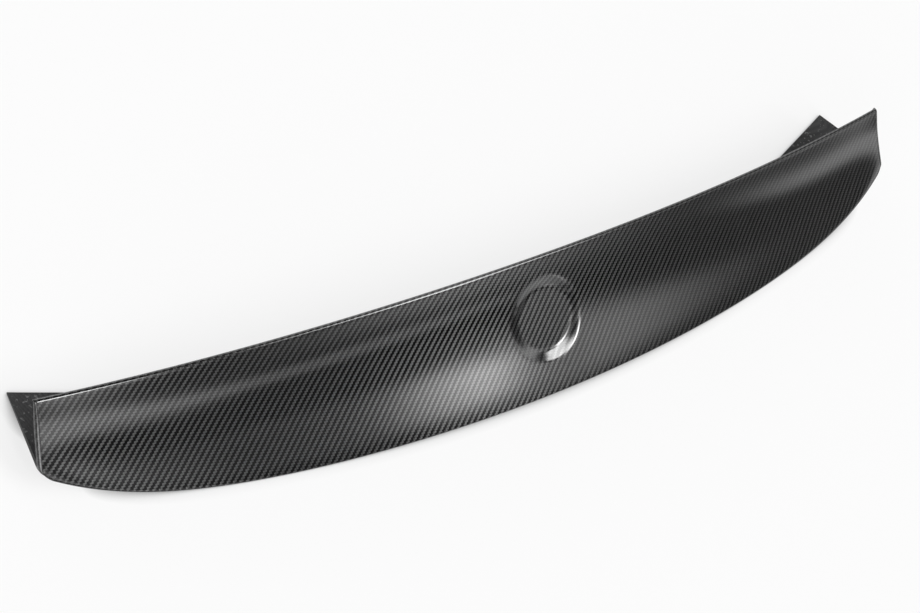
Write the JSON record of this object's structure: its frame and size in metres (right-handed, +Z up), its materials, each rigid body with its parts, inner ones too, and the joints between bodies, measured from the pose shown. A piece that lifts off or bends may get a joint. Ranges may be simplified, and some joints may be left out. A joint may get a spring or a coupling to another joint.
{
  "type": "car rear spoiler",
  "caption": "One-piece ducktail boot-lid spoiler in woven carbon laminate, with a round badge seat and a folded base with two tabs.",
  "frame": {"origin": "middle of the footprint, on the surface that the base rests on", "axes": "+X across the car along the lip, -Y towards the bowed lower edge, +Z up as it lies on a bench"},
  "size_m": [1.0602, 0.1958, 0.1009],
  "materials": {
    "carbon_laminate": "clear-coated 2x2 twill carbon laminate, matt on its inner face"
  },
  "bodies": {
    "root": {"spoiler_shell": "carbon_laminate"}
  },
  "joints": []
}
